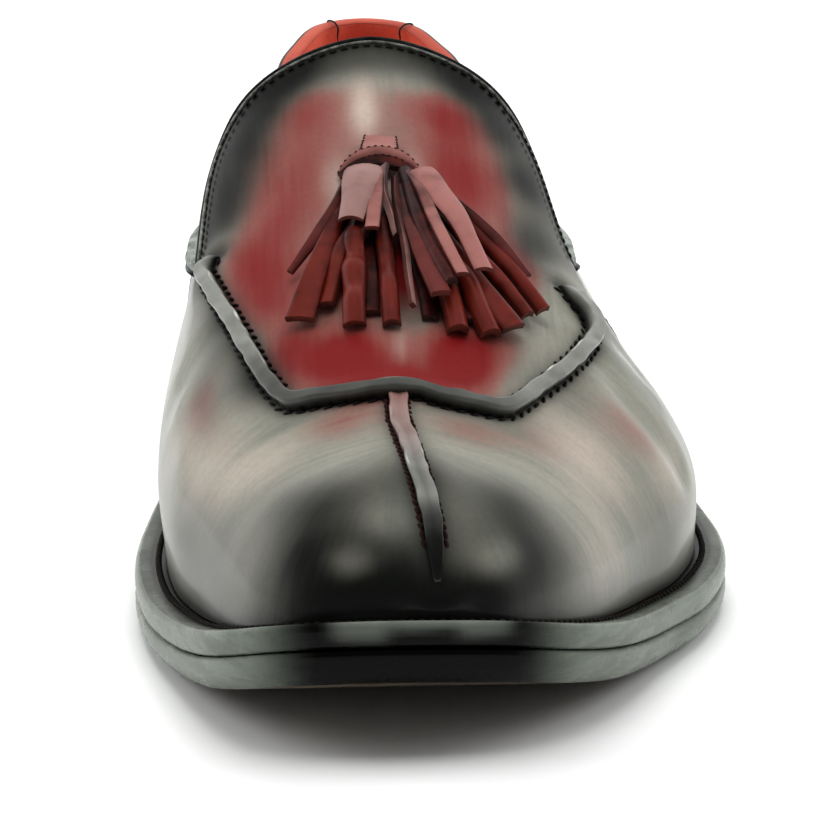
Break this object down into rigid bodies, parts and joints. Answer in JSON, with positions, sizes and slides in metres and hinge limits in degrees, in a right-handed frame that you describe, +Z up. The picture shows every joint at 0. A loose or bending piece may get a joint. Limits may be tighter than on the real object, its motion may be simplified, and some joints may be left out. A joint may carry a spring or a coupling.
{
  "type": "tassel loafer",
  "caption": "Low slip-on leather shoe with a raised apron seam, a seam down the toe, fringed tassels on the vamp, a welted sole and a stacked heel.",
  "frame": {"origin": "on the floor under the middle of the shoe's bounding box", "axes": "+Y from toe to heel, +X towards the outer (lateral) side, +Z up"},
  "size_m": [0.113, 0.302, 0.1005],
  "materials": {
    "sole_edge": "satin, dressed edge",
    "heel_lifts": "satin, dressed edge",
    "heel_tip": "matte",
    "insole_leather": "smooth, unpolished",
    "upper_leather": "burnished, high polish",
    "quarter_leather": "burnished, high polish",
    "seam_leather": "polished",
    "gore_fabric": "woven, matte",
    "tassel_leather": "soft, semi-matte"
  },
  "bodies": {
    "root": {"outsole": "sole_edge", "welt": "sole_edge", "heel_stack": "heel_lifts", "heel_top_piece": "heel_tip", "insole": "insole_leather", "upper": "upper_leather", "quarters": "quarter_leather", "gore_medial": "gore_fabric", "gore_lateral": "gore_fabric", "apron_seam": "seam_leather", "toe_seam": "seam_leather", "tassel_tie": "tassel_leather", "tassel_left": "tassel_leather", "tassel_right": "tassel_leather"}
  },
  "joints": []
}
